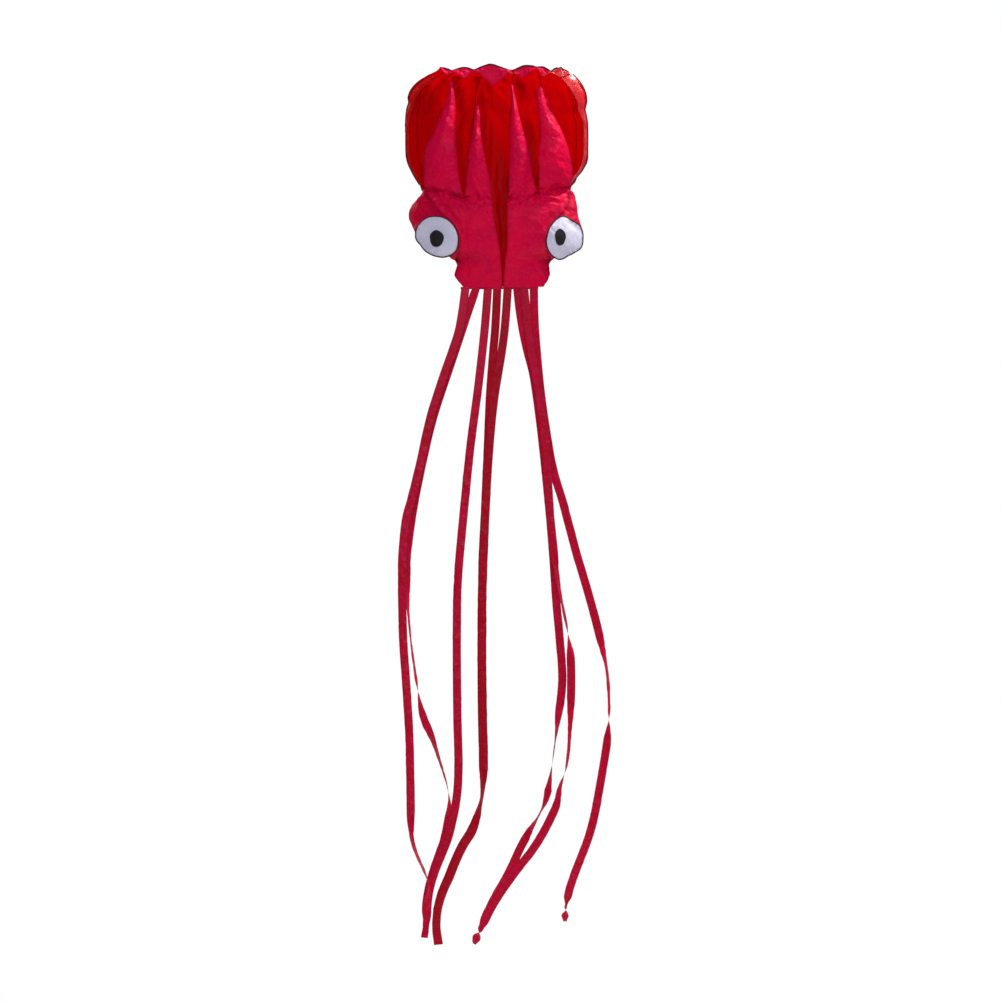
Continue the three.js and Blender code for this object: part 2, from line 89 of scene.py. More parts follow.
def make_camera():
    data = bpy.data.cameras.new("camera")
    data.sensor_width = SENSOR
    data.lens = SENSOR * VIEW_DISTANCE / VIEW_WIDTH
    data.clip_end = 4 * VIEW_DISTANCE
    camera = bpy.data.objects.new("camera", data)
    camera.location = (VIEW_MIDDLE[0], -VIEW_DISTANCE, VIEW_MIDDLE[1])
    camera.rotation_euler = (math.radians(90), 0, 0)
    bpy.context.scene.collection.objects.link(camera)
    bpy.context.scene.camera = camera


def area_light(name, at, towards, size, power, colour):
    data = bpy.data.lights.new(name, "AREA")
    data.shape = "DISK"
    data.size = size
    data.energy = power
    data.color = colour
    light = bpy.data.objects.new(name, data)
    light.location = at
    light.rotation_euler = (Vector(towards) - Vector(at)).to_track_quat("-Z", "Y").to_euler()
    bpy.context.scene.collection.objects.link(light)


def make_stage():
    scene = bpy.context.scene
    scene.view_settings.view_transform = "Standard"
    world = bpy.data.worlds.new("studio")
    scene.world = world
    world.use_nodes = True
    nodes, links = world.node_tree.nodes, world.node_tree.links
    nodes.clear()
    path = nodes.new("ShaderNodeLightPath")
    ambient = nodes.new("ShaderNodeBackground")
    ambient.inputs["Color"].default_value = (0.93, 0.95, 1.0, 1)
    ambient.inputs["Strength"].default_value = 0.33
    backdrop = nodes.new("ShaderNodeBackground")
    backdrop.inputs["Color"].default_value = (1, 1, 1, 1)
    backdrop.inputs["Strength"].default_value = 1.0
    mix = nodes.new("ShaderNodeMixShader")
    out = nodes.new("ShaderNodeOutputWorld")
    links.new(path.outputs["Is Camera Ray"], mix.inputs[0])
    links.new(ambient.outputs[0], mix.inputs[1])
    links.new(backdrop.outputs[0], mix.inputs[2])
    links.new(mix.outputs[0], out.inputs["Surface"])

    floor_mesh = bpy.data.meshes.new("floor")
    spokes, radius = 64, 6.0
    level = CAD_BOX[0][2] - FLOOR_GAP
    ring = [
        (radius * math.cos(2 * math.pi * k / spokes), radius * math.sin(2 * math.pi * k / spokes), level)
        for k in range(spokes)
    ]
    floor_mesh.from_pydata(ring, [], [tuple(range(spokes))])
    floor = bpy.data.objects.new("floor", floor_mesh)
    bpy.context.scene.collection.objects.link(floor)
    paint = bpy.data.materials.new("pale_floor")
    paint.use_nodes = True
    shader = paint.node_tree.nodes["Principled BSDF"]
    shader.inputs["Base Color"].default_value = (0.86, 0.86, 0.86, 1)
    shader.inputs["Roughness"].default_value = 0.9
    floor_mesh.materials.append(paint)

    head = (0.0, 0.0, -0.15)
    area_light("sun", (5.0, 0.9, 6.3), head, 0.9, 1600, (1.0, 0.94, 0.84))
    area_light("glow", (-5.0, 3.4, 2.6), head, 1.6, 260, (1.0, 0.94, 0.84))
    area_light("sky", (0.5, -8.0, 3.6), (0, 0, -1.0), 3.0, 540, (0.97, 0.96, 1.0))


# ---------------------------------------------------------------- CAD panels as smooth surfaces
def layer_of(node, outward):
    """The points and triangles of one side of a thin CAD panel: the side that faces outward(points)."""
    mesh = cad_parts[node].data
    mesh.calc_loop_triangles()
    points = np.array([v.co for v in mesh.vertices])
    keys = np.round(points, 6)
    unique, index = np.unique(keys, axis=0, return_inverse=True)
    index = index.reshape(-1)
    triangles = index[np.array([t.vertices for t in mesh.loop_triangles])]
    corners = unique[triangles]
    sides = np.linalg.norm(corners - np.roll(corners, 1, axis=1), axis=2)
    triangles = triangles[sides.min(axis=1) > 1.6 * CLOTH_THICKNESS]
    # the two sides of the panel are separate islands now
    parent = np.arange(len(unique))

    def root(i):
        while parent[i] != i:
            parent[i] = parent[parent[i]]
            i = parent[i]
        return i

    for a, b, c in triangles:
        parent[root(a)] = root(b)
        parent[root(b)] = root(c)
    islands = {}
    for triangle in triangles:
        islands.setdefault(root(triangle[0]), []).append(triangle)

    def facing(group):
        a, b, c = (unique[np.array(group)[:, k]] for k in range(3))
        normal = np.cross(b - a, c - a)
        return float((normal * outward((a + b + c) / 3)).sum())

    return unique, np.array(max(islands.values(), key=facing))


def grid_of(node, outward):
    """The panel's own grid of points, rows from the top down and columns from its first edge across."""
    points, triangles = layer_of(node, outward)
    count = {}
    third = {}
    for a, b, c in triangles:
        for x, y, z in ((a, b, c), (b, c, a), (c, a, b)):
            count[x] = count.get(x, 0) + 1
            third.setdefault(frozenset((x, y)), []).append(z)
    edge = {}
    for pair, others in third.items():
        if len(others) == 1:
            for v in pair:
                edge.setdefault(v, []).extend(pair - {v})
    first = max((v for v, n in count.items() if n == 1), key=lambda v: points[v][2])

    def steepness(v):
        step = points[v] - points[first]
        return step[2] / np.linalg.norm(step)

    down, across = sorted(edge[first], key=steepness)

    def walk(start, following):
        line = [start, following]
        while count[line[-1]] == 3:
            line.append(next(v for v in edge[line[-1]] if v != line[-2]))
        return line

    rows = [walk(first, across)]
    for leader in walk(first, down)[1:]:
        above = rows[-1]
        row = [leader]
        for corner, right in zip(above, above[1:]):
            row.append(next(v for v in third[frozenset((right, row[-1]))] if v != corner))
        rows.append(row)
    return points[np.array(rows)]


def weights(count, places):
    """The matrix of a smooth curve through count points, read at places from 0 to 1 and a little past."""
    matrix = np.zeros((len(places), count + 2))
    for row, place in enumerate(np.asarray(places) * (count - 1)):
        k = int(min(max(math.floor(place), 0), count - 2))
        t = place - k
        matrix[row, k] += -0.5 * t + t * t - 0.5 * t**3
        matrix[row, k + 1] += 1 - 2.5 * t * t + 1.5 * t**3
        matrix[row, k + 2] += 0.5 * t + 2 * t * t - 1.5 * t**3
        matrix[row, k + 3] += -0.5 * t * t + 0.5 * t**3
    inner = matrix[:, 1:-1].copy()
    inner[:, 0] += 2 * matrix[:, 0]
    inner[:, min(1, count - 1)] -= matrix[:, 0]
    inner[:, -1] += 2 * matrix[:, -1]
    inner[:, max(count - 2, 0)] -= matrix[:, -1]
    return inner


def resample(grid, columns, rows, grow=(0, 0, 0, 0)):
    """The grid as a finer one, grown by metres past its left, right, top and bottom edges."""
    width = np.linalg.norm(np.diff(grid, axis=1), axis=2).sum(axis=1).mean()
    height = np.linalg.norm(np.diff(grid, axis=0), axis=2).sum(axis=0).mean()
    left, right, top, bottom = grow
    u = np.linspace(-left / width, 1 + right / width, columns + 1)
    v = np.linspace(-top / height, 1 + bottom / height, rows + 1)
    across, along = weights(grid.shape[1], u), weights(grid.shape[0], v)
    return np.einsum("ij,jkc,lk->ilc", along, grid, across)


def normals_of(grid):
    down = np.gradient(grid, axis=0)
    across = np.gradient(grid, axis=1)
    normal = np.cross(down, across)
    return normal / np.maximum(np.linalg.norm(normal, axis=2, keepdims=True), 1e-12)


def smoothstep(low, high, value):
    t = np.clip((value - low) / (high - low), 0, 1)
    return t * t * (3 - 2 * t)


def edge_distances(grid):
    """Distance in metres from each point to the left, right, top and bottom edges, along the cloth."""
    across = np.linalg.norm(np.diff(grid, axis=1), axis=2)
    down = np.linalg.norm(np.diff(grid, axis=0), axis=2)
    u = np.concatenate([np.zeros((grid.shape[0], 1)), across.cumsum(axis=1)], axis=1)
    v = np.concatenate([np.zeros((1, grid.shape[1])), down.cumsum(axis=0)], axis=0)
    return u, u[:, -1:] - u, v, v[-1:, :] - v


def fbm(points, size, seed, octaves=2):
    """Smooth noise about zero at each point, with features about size metres wide."""
    shift = Vector((seed * 7.31, seed * 3.17, seed * 5.71))
    flat = points.reshape(-1, 3)
    values = [noise.fractal(Vector(p / size) + shift, 1.0, 2.0, octaves) for p in flat]
    return np.array(values).reshape(points.shape[:-1])


def facets(points, size, seed):
    """Crumpled cloth about zero: flat patches about size metres wide that meet in sharp creases."""
    shift = Vector((seed * 7.31, seed * 3.17, seed * 5.71))
    bent = points + 0.25 * size * np.sin(points[..., [1, 2, 0]] * 4 / size + seed)
    flat = (bent * np.array([1.0, 1.0, 0.75])).reshape(-1, 3)
    values = [noise.voronoi(Vector(p / size) + shift)[0][0] ** 2 for p in flat]
    return np.array(values).reshape(points.shape[:-1]) - 0.25


# ---------------------------------------------------------------- building pieces
def mesh_piece(name, points, faces, uvs, edge, material, body=HEAD):
    """uvs: metres across and along the cloth. edge: metres to the nearest edge, and along that edge."""
    mesh = bpy.data.meshes.new(name)
    mesh.from_pydata([tuple(p) for p in points], [], faces)
    corners = np.array([loop.vertex_index for loop in mesh.loops])
    for layer_name, values in (("cloth", uvs), ("edge", edge)):
        layer = mesh.uv_layers.new(name=layer_name)
        layer.data.foreach_set("uv", np.asarray(values, float)[corners].reshape(-1))
    mesh.polygons.foreach_set("use_smooth", [True] * len(mesh.polygons))
    mesh.materials.append(material)
    piece = bpy.data.objects.new(name, mesh)
    bpy.context.scene.collection.objects.link(piece)
    if body:
        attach(piece, body)
    return piece


def grid_faces(rows, columns):
    return [
        (j * columns + i, (j + 1) * columns + i, (j + 1) * columns + i + 1, j * columns + i + 1)
        for j in range(rows - 1)
        for i in range(columns - 1)
    ]


def grid_piece(name, grid, material, body=HEAD, edge=None):
    rows, columns = grid.shape[:2]
    left, right, top, bottom = edge_distances(grid)
    uvs = np.stack([left, top], axis=2).reshape(-1, 2)
    if edge is None:
        aside, above = np.minimum(left, right), np.minimum(top, bottom)
        edge = np.stack([np.minimum(aside, above), np.where(aside < above, top, left)], axis=2)
    faces = grid_faces(rows, columns)
    return mesh_piece(name, grid.reshape(-1, 3), faces, uvs, edge.reshape(-1, 2), material, body)


TUBE_SIDES = 6
EDGE_BINDING_RADIUS = 0.0034  # along the leading edge and the sides of the mouth
EYE_BINDING_RADIUS = 0.0031
STITCHING_RADIUS = 0.0016  # round the pupils


def tube_piece(name, path, radius, material, closed=False):
    """A round cord of sewing: piping or a rolled edge, along a line of points."""
    sides = TUBE_SIDES
    ahead, behind = np.roll(path, -1, axis=0), np.roll(path, 1, axis=0)
    if not closed:
        ahead[-1], behind[0] = path[-1], path[0]
    tangent = ahead - behind
    tangent /= np.maximum(np.linalg.norm(tangent, axis=1, keepdims=True), 1e-12)
    side = np.cross(tangent, np.array([0.31, 0.87, 0.38]))
    side /= np.linalg.norm(side, axis=1, keepdims=True)
    up = np.cross(side, tangent)
    points = []
    for k in range(sides):
        angle = 2 * math.pi * k / sides
        points.append(path + radius * (math.cos(angle) * side + math.sin(angle) * up))
    points = np.stack(points, axis=1).reshape(-1, 3)
    count = len(path)
    faces = []
    for j in range(count if closed else count - 1):
        for k in range(sides):
            a, b = j * sides + k, j * sides + (k + 1) % sides
            c, d = ((j + 1) % count) * sides + k, ((j + 1) % count) * sides + (k + 1) % sides
            faces.append((a, b, d, c))
    if not closed:
        faces.append(tuple(range(sides))[::-1])
        faces.append(tuple((count - 1) * sides + k for k in range(sides)))
    length = np.concatenate([[0], np.linalg.norm(np.diff(path, axis=0), axis=1).cumsum()])
    uvs = np.stack([np.tile(np.arange(sides) * radius, count), np.repeat(length, sides)], axis=1)
    far_from_edge = uvs + np.array([1.0, 0.0])
    return mesh_piece(name, points, faces, uvs, far_from_edge, material)


def declare_sheet(grid):
    left, right, top, bottom = edge_distances(grid)


# ---------------------------------------------------------------- materials
class Shader:
    """A short way to write a node material."""

    def __init__(self, name):
        self.material = bpy.data.materials.new(name)
        self.material.use_nodes = True
        self.tree = self.material.node_tree
        self.main = self.tree.nodes["Principled BSDF"]
        self.output = self.tree.nodes["Material Output"]

    def node(self, kind, **settings):
        made = self.tree.nodes.new(kind)
        for key, value in settings.items():
            setattr(made, key, value)
        return made

    def link(self, source, target):
        self.tree.links.new(source, target)

    def maths(self, operation, first, second=None, clamp=False):
        made = self.node("ShaderNodeMath", operation=operation, use_clamp=clamp)
        for socket, value in zip(made.inputs, (first, second)):
            if value is None:
                continue
            if isinstance(value, (int, float)):
                socket.default_value = value
            else:
                self.link(value, socket)
        return made.outputs[0]

    def mix(self, share, first, second):
        made = self.node("ShaderNodeMix", data_type="RGBA")
        for socket, value in ((made.inputs[0], share), (made.inputs[6], first), (made.inputs[7], second)):
            if isinstance(value, (int, float, tuple)):
                socket.default_value = value
            else:
                self.link(value, socket)
        return made.outputs[2]

    def noise(self, vector, scale, detail=2.0, roughness=0.5):
        made = self.node("ShaderNodeTexNoise")
        made.inputs["Scale"].default_value = scale
        made.inputs["Detail"].default_value = detail
        made.inputs["Roughness"].default_value = roughness
        self.link(vector, made.inputs["Vector"])
        return made.outputs["Fac"]


STITCH_WIDTH = 0.001
STITCH_STEP = 0.0036


def cloth_material(name, colour, deep, light, roughness, translucency, through, weave=0.0011, rip=0.006,
                   sheen=(1.0, 0.12, 0.35, 1), gloss=0.14, hem=0.008, fold_shade_streak=1.0):
    """Thin woven cloth: a plain weave with thicker threads in a grid, satin sheen and light through it.
    colour is varied towards deep and light, and through is the colour of the light that passes. weave and
    rip are the sizes in metres of one thread and one square of the grid, and hem is the fold's width."""
    s = Shader(name)
    place = s.node("ShaderNodeTexCoord")
    uv = s.node("ShaderNodeSeparateXYZ")
    s.link(place.outputs["UV"], uv.inputs[0])
    across, along = uv.outputs[0], uv.outputs[1]

    # the tone noise can be drawn out up and down into long light and dark streaks; the canopy uses this
    # as painted shade of its folds
    fold_shade_stretch = s.node("ShaderNodeVectorMath", operation="MULTIPLY")
    fold_shade_stretch.inputs[1].default_value = (1.0, 1.0, fold_shade_streak)
    s.link(place.outputs["Object"], fold_shade_stretch.inputs[0])
    broad = s.noise(fold_shade_stretch.outputs[0], 9.0, 3.0)
    fine = s.noise(place.outputs["Object"], 70.0, 4.0, 0.6)
    tone = s.maths("MULTIPLY_ADD", s.maths("SUBTRACT", broad, 0.5), 2.2)
    tone.node.inputs[2].default_value = 0.5
    tone.node.use_clamp = True
    base = s.mix(tone, deep, colour)
    lift = s.maths("MULTIPLY", s.maths("SUBTRACT", fine, 0.52), 3.0, clamp=True)
    base = s.mix(lift, base, light)

    turns_u = s.maths("SINE", s.maths("MULTIPLY", across, 2 * math.pi / weave))
    turns_v = s.maths("SINE", s.maths("MULTIPLY", along, 2 * math.pi / weave))
    threads = s.maths("MULTIPLY", turns_u, turns_v)

    def ripstop(coordinate):
        cell = s.maths("FRACT", s.maths("DIVIDE", coordinate, rip))
        return s.maths("LESS_THAN", s.maths("ABSOLUTE", s.maths("SUBTRACT", cell, 0.5)), 0.08)

    grid = s.maths("MAXIMUM", ripstop(across), ripstop(along))
    base = s.mix(s.maths("MULTIPLY", grid, 0.16), base, deep)
    height = s.maths("ADD", s.maths("MULTIPLY", threads, 0.25), s.maths("MULTIPLY", grid, 0.6))
    # the folded edge of the cloth, with a row of stitches just inside it
    from_edge = s.node("ShaderNodeSeparateXYZ")
    s.link(s.node("ShaderNodeUVMap", uv_map="edge").outputs[0], from_edge.inputs[0])
    folded = s.maths("LESS_THAN", from_edge.outputs[0], hem)
    off_row = s.maths("ABSOLUTE", s.maths("SUBTRACT", from_edge.outputs[0], hem * 0.8))
    row = s.maths("LESS_THAN", off_row, STITCH_WIDTH / 2)
    along_row = s.maths("FRACT", s.maths("DIVIDE", from_edge.outputs[1], STITCH_STEP))
    stitched = s.maths("MULTIPLY", row, s.maths("GREATER_THAN", along_row, 0.3))
    doubled = s.maths("MULTIPLY", folded, 0.4)
    base = s.mix(doubled, base, tuple(0.5 * c for c in deep[:3]) + (1,))
    base = s.mix(s.maths("MULTIPLY", stitched, 0.8), base, light)
    height = s.maths("ADD", height, s.maths("ADD", folded, s.maths("MULTIPLY", stitched, -1.5)))
    s.link(base, s.main.inputs["Base Color"])

    crinkle = s.noise(place.outputs["Object"], 240.0, 5.0, 0.65)
    height = s.maths("ADD", height, s.maths("MULTIPLY", crinkle, 2.0))
    bump = s.node("ShaderNodeBump")
    bump.inputs["Strength"].default_value = 0.5
    bump.inputs["Distance"].default_value = 0.0004
    s.link(height, bump.inputs["Height"])
    s.link(bump.outputs[0], s.main.inputs["Normal"])

    rough = s.node("ShaderNodeMapRange")
    rough.inputs["To Min"].default_value = roughness - 0.08
    rough.inputs["To Max"].default_value = roughness + 0.1
    s.link(fine, rough.inputs["Value"])
    s.link(rough.outputs[0], s.main.inputs["Roughness"])
    s.main.inputs["Sheen Weight"].default_value = 0.02
    s.main.inputs["Sheen Roughness"].default_value = 0.4
    s.main.inputs["Sheen Tint"].default_value = sheen
    s.main.inputs["Specular IOR Level"].default_value = gloss

    if translucency:
        glow = s.node("ShaderNodeBsdfTranslucent")
        passed = s.mix(lift, through, light)
        passed = s.mix(doubled, passed, tuple(0.4 * c for c in through[:3]) + (1,))
        s.link(passed, glow.inputs["Color"])
        s.link(bump.outputs[0], glow.inputs["Normal"])
        both = s.node("ShaderNodeMixShader")
        both.inputs[0].default_value = translucency
        s.link(s.main.outputs[0], both.inputs[1])
        s.link(glow.outputs[0], both.inputs[2])
        s.link(both.outputs[0], s.output.inputs["Surface"])
    return s.material


# the canopy is the same red fabric as the front: its darker, pure red is painted shade of the inside of
# the head
CANOPY = cloth_material(
    "canopy_red", (0.36, 0.0, 0.002, 1), (0.22, 0.0, 0.001, 1), (0.39, 0.0, 0.003, 1), 0.42, 0.40,
    # the up-and-down streaks: painted shade of the canopy's folds
    (0.50, 0.0, 0.001, 1), gloss=0.05, hem=0.004, fold_shade_streak=0.2,
)
# a brighter copy of the canopy's red with brighter light through it: painted glow of the ribs
RIB = cloth_material(
    "rib_red", (0.55, 0.0, 0.001, 1), (0.45, 0.0, 0.0, 1), (0.62, 0.0, 0.002, 1), 0.42, 0.55,
    (0.9, 0.0, 0.0, 1),
)
# the front's pinker, bluer tint over the canopy's red is painted sky reflection
FRONT = cloth_material(
    "front_crimson", (0.58, 0.0, 0.036, 1), (0.45, 0.0, 0.042, 1), (0.72, 0.002, 0.045, 1), 0.46, 0.2,
    (0.8, 0.0, 0.01, 1), gloss=0.06,
)
# a darker copy of the front crimson: painted shade on the eye pods and their gussets
POD = cloth_material(
    "pod_crimson", (0.46, 0.0, 0.026, 1), (0.35, 0.0, 0.032, 1), (0.56, 0.001, 0.032, 1), 0.46, 0.2,
    (0.62, 0.0, 0.008, 1), gloss=0.05,
)
# a brighter copy of the front crimson with orange light through it: painted sun glare on the right rim
# and the right end of the lip
SUN_GLARE_CRIMSON = cloth_material(
    "rim_painted_sun_glare", (0.62, 0.004, 0.012, 1), (0.50, 0.0, 0.012, 1), (0.80, 0.03, 0.03, 1), 0.30, 0.35,
    (1.0, 0.05, 0.01, 1), gloss=0.8, hem=0.003,
)
TAIL = cloth_material(
    "tail_crimson", (0.33, 0.0, 0.030, 1), (0.26, 0.0, 0.010, 1), (0.52, 0.003, 0.060, 1), 0.36, 0.2,
    (0.60, 0.0, 0.02, 1), gloss=0.11, hem=0.003,
)
# a darker copy of the tail crimson: painted shade on ribbons 4 and 5
TAIL_DEEP = cloth_material(
    "tail_deep_red", (0.27, 0.0, 0.016, 1), (0.20, 0.0, 0.004, 1), (0.42, 0.002, 0.022, 1), 0.36, 0.2,
    (0.52, 0.0, 0.01, 1), gloss=0.11, hem=0.003,
)
# the white cloth's lilac-blue tint is painted sky light
EYE_WHITE = cloth_material(
    "eye_white", (0.50, 0.49, 0.60, 1), (0.41, 0.41, 0.55, 1), (0.62, 0.61, 0.68, 1), 0.5, 0.1,
    (0.6, 0.56, 0.64, 1), sheen=(0.9, 0.9, 1.0, 1), hem=0.005,
)
EYE_BLACK = cloth_material(
    "eye_black", (0.010, 0.009, 0.012, 1), (0.006, 0.006, 0.008, 1), (0.03, 0.022, 0.026, 1), 0.55, 0.0,
    (0, 0, 0, 1), sheen=(0.6, 0.6, 0.7, 1), hem=0.003,
)
# near-black: painted shade of the rolled edges seen edge-on, along the leading edge, the mouth's sides
# and round the eyes
EDGE_SHADE_CORD = cloth_material(
    "edge_shade_cord", (0.045, 0.003, 0.012, 1), (0.03, 0.002, 0.008, 1), (0.08, 0.01, 0.02, 1), 0.6, 0.0,
    (0, 0, 0, 1), weave=0.0016, rip=0.004, hem=0.0,
)
WEBBING = cloth_material(
    "webbing_red", (0.42, 0.0, 0.030, 1), (0.32, 0.0, 0.020, 1), (0.50, 0.004, 0.04, 1), 0.6, 0.0,
    (0, 0, 0, 1), weave=0.0016, rip=0.004, hem=0.002,
)


# ---------------------------------------------------------------- the head
AXIS = np.array([0.0, 0.03, 0.0])


def to_front(points):
    return np.array([0.0, -1.0, 0.0])


def away_from_axis(points):
    out = points - AXIS
    out[:, 2] = 0
    return out


CANOPY_PANELS = [
    "canopy_left_side", "canopy_left_outer", "canopy_left_inner", "canopy_centre",
    "canopy_right_inner", "canopy_right_outer", "canopy_right_side",
]

FACES = {side: grid_of(f"face_{side}", to_front) for side in ("left", "right")}
# the line of the gathered join between the fingers and the face, by x
PUCKER = np.concatenate([FACES["left"][0], FACES["right"][0]])
PUCKER = PUCKER[PUCKER[:, 0].argsort()]


def mouth_edge(side):
    """The front edge of the canopy on one side: its heights, and its x and y at each."""
    grid = grid_of(f"canopy_{side}_side", away_from_axis)
    line = min((grid[:, 0], grid[:, -1]), key=lambda column: column[:, 1].mean())
    line = line[line[:, 2].argsort()]
    return line[:, 2], line[:, 0], line[:, 1]


MOUTH_EDGES = {side: mouth_edge(side) for side in ("left", "right")}
NECK_HEIGHT = -0.530  # the head is drawn in here, under the eyes
NECK_PUSH = 0.005


def neck_push(heights, from_edge):
    """How far the side edges stand out at the neck, on the face and on the canopy alike."""
    return NECK_PUSH * np.exp(-from_edge / 0.012) * np.exp(-(((heights - NECK_HEIGHT) / 0.035) ** 2))


def join_edges(grid, line, edge, from_edge, reach, share):
    """Draws one edge of a piece on to a line (heights, x, y); share says how much in each row."""
    heights, xs, ys = line
    at = edge[:, 2]
    way = np.stack([np.interp(at, heights, xs), np.interp(at, heights, ys), at], axis=1)
    move = (way - edge) * share[:, None]
    return grid + move[:, None] * np.exp(-from_edge / reach)[..., None]


# folds that stay in the face cloth: start and end (x, z), half width and height in metres
FACE_FOLDS = [
    ((-0.124, -0.400), (-0.020, -0.465), 0.006, -0.0040),
    ((-0.103, -0.497), (-0.041, -0.502), 0.005, -0.0030),
    ((0.103, -0.418), (0.136, -0.482), 0.005, -0.0035),
    ((-0.213, -0.288), (-0.144, -0.378), 0.012, 0.0060),
    ((-0.130, -0.290), (-0.130, -0.600), 0.006, -0.0040),
    ((-0.180, -0.560), (-0.120, -0.640), 0.010, 0.0050),
    ((0.085, -0.275), (0.170, -0.250), 0.012, 0.0060),
    ((0.170, -0.250), (0.280, -0.290), 0.010, 0.0060),
    ((-0.095, -0.200), (-0.030, -0.215), 0.007, -0.0050),
    ((-0.092, -0.265), (-0.022, -0.282), 0.008, -0.0055),
    ((0.187, -0.246), (0.224, -0.272), 0.007, -0.0050),
    ((0.224, -0.272), (0.275, -0.281), 0.007, -0.0050),
    ((0.180, -0.540), (0.215, -0.610), 0.010, 0.0050),
]


def fold_lines(points):
    """Height of the cloth's lasting folds at each point of the front."""
    x, z = points[..., 0], points[..., 2]
    total = np.zeros(x.shape)
    for (x0, z0), (x1, z1), width, height in FACE_FOLDS:
        dx, dz = x1 - x0, z1 - z0
        t = np.clip(((x - x0) * dx + (z - z0) * dz) / (dx * dx + dz * dz), 0, 1)
        off = np.hypot(x - x0 - t * dx, z - z0 - t * dz)
        total += height * np.exp(-((off / width) ** 2)) * (0.35 + 0.65 * np.sin(math.pi * t))
    return total


def pucker(points):
    """The gathered join between the fingers and the face: a valley with fat folds above and below."""
    x, z = points[..., 0], points[..., 2]
    off = z - np.interp(x, PUCKER[:, 0], PUCKER[:, 2])
    wander = fbm(points, 0.05, 3)
    off = off + 0.028 * wander
    valley = -0.008 * np.exp(-((off / 0.012) ** 2)) * np.clip(0.75 + 1.6 * fbm(points, 0.07, 13), 0, 1.4)
    above = 0.009 * np.exp(-(((off - 0.030) / 0.018) ** 2)) * (0.8 + 1.6 * wander)
    below = 0.009 * np.exp(-(((off + 0.028) / 0.016) ** 2)) * (0.8 - 1.6 * wander)
    uneven = np.clip(0.5 + 2.2 * fbm(points, 0.09, 11), 0, 1)
    waves = np.sin(2 * math.pi * x / 0.033 + 7 * wander)
    gathers = 0.0022 * waves * np.exp(-((off / 0.026) ** 2)) * uneven
    return valley + above + below + gathers


def crinkle(points, strength=1.0):
    """The permanent crumple of thin cloth that has been packed away."""
    broad = 0.013 * facets(points, 0.09, 5)
    middle = -0.0065 * facets(points, 0.036, 17)
    small = 0.0022 * facets(points, 0.015, 29)
    return strength * (broad + middle + small)


def front_height(points):
    return pucker(points) + fold_lines(points) + crinkle(points)


# the leading edge rises to points between its notches: x of each point or notch and its lift, in metres
EDGE_LIFT = [
    (-0.30, 0.0), (-0.252, 0.002), (-0.196, -0.004), (-0.13, -0.002), (-0.099, -0.006),
    (-0.034, 0.007), (0.02, -0.002), (0.066, -0.004), (0.10, -0.003), (0.20, 0.003),
    (0.238, -0.005), (0.282, 0.004), (0.30, -0.006), (0.33, -0.004), (0.40, 0.0),
]


def lift_edge(grid, from_edge):
    """Shapes the top of the head: the pieces that meet at the leading edge move alike."""
    known = np.array(EDGE_LIFT)
    lift = np.interp(grid[..., 0], known[:, 0], known[:, 1])
    crumple = 0.010 * facets(grid, 0.022, 37) * smoothstep(0.20, 0.26, grid[..., 0])
    lifted = grid.copy()
    lifted[..., 2] += (lift + crumple) * np.exp(-from_edge / 0.025) * smoothstep(0.15, 0.22, grid[..., 2])
    return lifted


def raise_cloth(grid, heights):
    return grid + normals_of(grid) * heights[..., None]


PLEAT = 0.016  # height of the long soft pleats of the canopy
FINGER_LAP = 0.012  # how far the fingers run down behind their join with the face
FINGER_BILLOW = 0.016  # how far the wind fills the fingers forward


def make_canopy():
    for name in CANOPY_PANELS:
        coarse = grid_of(name, away_from_axis)
        grid = resample(coarse, 40, 160, (SEAM_REACH, SEAM_REACH, 0, HEM_REACH))
        left, right, top, bottom = edge_distances(grid)
        near_seam = np.exp(-np.minimum(left, right) / 0.02)
        pull = 0.0007 * near_seam * np.sin(2 * math.pi * grid[..., 2] / 0.026 + 4 * fbm(grid, 0.08, 31))
        ridge = 0.0
        if name == "canopy_centre":
            ridge = 0.003 * np.exp(-(((left - right) / 0.02) ** 2))
        seam = 0.0014 * np.exp(-((np.minimum(left, right) / 0.005) ** 2))
        from_ends = smoothstep(0.01, 0.08, top) * smoothstep(0, 0.03, np.minimum(left, right))
        pleats = PLEAT * fbm(grid * np.array([1.0, 1.0, 0.2]), 0.06, 23) * from_ends
        above_hem = smoothstep(0, 0.04, bottom)
        if name.endswith("side"):
            first = coarse[:, 0, 1].mean() < coarse[:, -1, 1].mean()
            from_mouth = left if first else right
            grid[..., 0] += np.sign(coarse[..., 0].mean()) * neck_push(grid[..., 2], from_mouth)
        grid = raise_cloth(grid, (crinkle(grid, 0.3) + pull + ridge + seam + pleats) * above_hem)
        # the hem is drawn in to the tape, except at the corners, where it joins the face
        drawn = np.exp(-((bottom / HEM_SOFT) ** 2))
        inside = smoothstep(0, 0.04, from_mouth) if name.endswith("side") else 1.0
        grid[..., 1] += (HEM_BEHIND - grid[-1:, :, 1]) * drawn * inside
        grid[..., 2] += (HEM_LEVEL - grid[-1:, :, 2]) * drawn
        grid = lift_edge(grid, top)
        piece = grid_piece(f"{name}_cloth", grid, CANOPY)
        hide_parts(name)
        declare_sheet(coarse)


FACE_EDGES = {}  # the outer edge of each face panel, which the eye pods are sewn to


def starts_outside(grid):
    """Whether a grid's first column is further from the middle of the kite than its last."""
    row = grid[len(grid) // 2]
    return abs(row[0, 0]) > abs(row[-1, 0])


